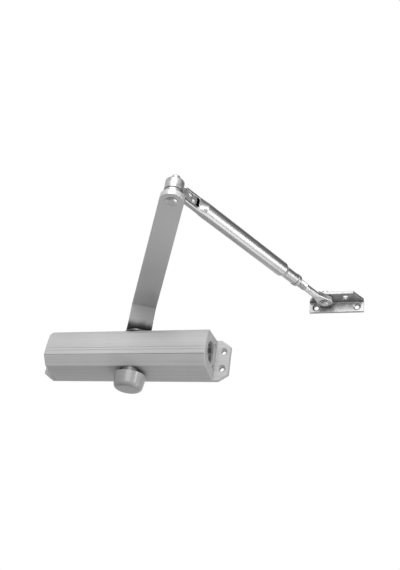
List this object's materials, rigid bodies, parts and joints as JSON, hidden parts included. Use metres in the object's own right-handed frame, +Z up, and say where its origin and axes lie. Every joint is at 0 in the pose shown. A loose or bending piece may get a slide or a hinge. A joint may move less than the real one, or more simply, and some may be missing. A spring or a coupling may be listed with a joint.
{
  "type": "door closer",
  "caption": "Surface-mounted hydraulic door closer: extruded body with rack and pinion, double-bent main arm, adjustable tubular forearm and angle shoe.",
  "frame": {"origin": "middle of the four screw holes on the body's mounting face", "axes": "+X along the body towards the regulating valves, +Y into the door, +Z up along the spindle towards the arm"},
  "size_m": [0.4068, 0.2635, 0.1306],
  "materials": {
    "body_paint": "silver-grey paint, slightly satin",
    "turned_steel": "turned",
    "nut_steel": "zinc plated, dull",
    "spring_steel": "oiled",
    "seal_rubber": "matt black",
    "valve_brass": "turned",
    "cap_plastic": "moulded grey, satin",
    "arm_paint": "silver-grey paint, satin",
    "zinc_small": "bright zinc",
    "zinc_knuckle": "bright zinc on a forging",
    "zinc_tube": "bright zinc",
    "zinc_rod": "bright zinc, threaded part dull",
    "shoe_zinc": "dull zinc on pressed steel"
  },
  "bodies": {
    "housing": {"closer_body": "body_paint", "right_end_plug": "turned_steel", "left_end_plug": "turned_steel", "right_plug_ring": "seal_rubber", "left_plug_ring": "seal_rubber", "upper_bearing": "turned_steel", "lower_bearing": "turned_steel", "upper_bearing_nut": "nut_steel", "lower_bearing_nut": "nut_steel", "upper_spindle_seal": "seal_rubber", "lower_spindle_seal": "seal_rubber", "return_spring": "spring_steel"},
    "closing_valve": {"closing_speed_valve": "turned_steel", "closing_valve_ring": "seal_rubber"},
    "latching_valve": {"latching_speed_valve": "turned_steel", "latching_valve_ring": "seal_rubber"},
    "spindle": {"spindle_pinion": "turned_steel", "spindle_cap": "cap_plastic", "main_arm": "arm_paint", "arm_screw": "turned_steel", "arm_screw_washer": "turned_steel", "elbow_pin": "zinc_small", "elbow_nut": "zinc_small", "lower_elbow_washer": "zinc_small", "upper_elbow_washer": "zinc_small"},
    "piston": {"rack_piston": "turned_steel", "piston_check_valve": "valve_brass", "piston_ring": "seal_rubber"},
    "forearm": {"elbow_knuckle": "zinc_knuckle", "knuckle_rivets": "zinc_small", "forearm_tube": "zinc_tube", "tube_end_ring": "zinc_tube"},
    "rod": {"adjusting_rod": "zinc_rod"},
    "shoe": {"shoe_bracket": "shoe_zinc", "shoe_pin": "zinc_small", "shoe_pin_washer": "zinc_small"}
  },
  "joints": [
    {"name": "closing_valve_turn", "type": "hinge", "parent": "housing", "child": "closing_valve", "pos_m": [0.1, -0.011, 0.016], "axis": [1, 0, 0], "range_deg": [-360, 360]},
    {"name": "latching_valve_turn", "type": "hinge", "parent": "housing", "child": "latching_valve", "pos_m": [0.1, -0.011, -0.011], "axis": [1, 0, 0], "range_deg": [-360, 360]},
    {"name": "spindle_turn", "type": "hinge", "parent": "housing", "child": "spindle", "pos_m": [0.007, -0.0235, 0], "axis": [0, 0, 1], "range_deg": [0, 170], "stiffness_Nm_per_rad": 3.5, "springref_deg": -114.59},
    {"name": "piston_slide", "type": "slide", "parent": "housing", "child": "piston", "axis": [1, 0, 0], "range_m": [-0.0223, 0], "deforming": ["return_spring"]},
    {"name": "elbow_turn", "type": "hinge", "parent": "spindle", "child": "forearm", "pos_m": [0.12979, -0.25154, 0.0711], "axis": [0, 0, 1], "range_deg": [-115, 50]},
    {"name": "rod_slide", "type": "slide", "parent": "forearm", "child": "rod", "axis": [0.4147, 0.91, 0], "range_m": [-0.005, 0.02]},
    {"name": "shoe_turn", "type": "hinge", "parent": "rod", "child": "shoe", "pos_m": [0.23782, -0.0145, 0.0711], "axis": [0, 0, 1], "range_deg": [-100, 65]}
  ],
  "couplings": [
    {"joint": "piston_slide", "follows": "spindle_turn", "m_per_rad": -0.0075}
  ]
}
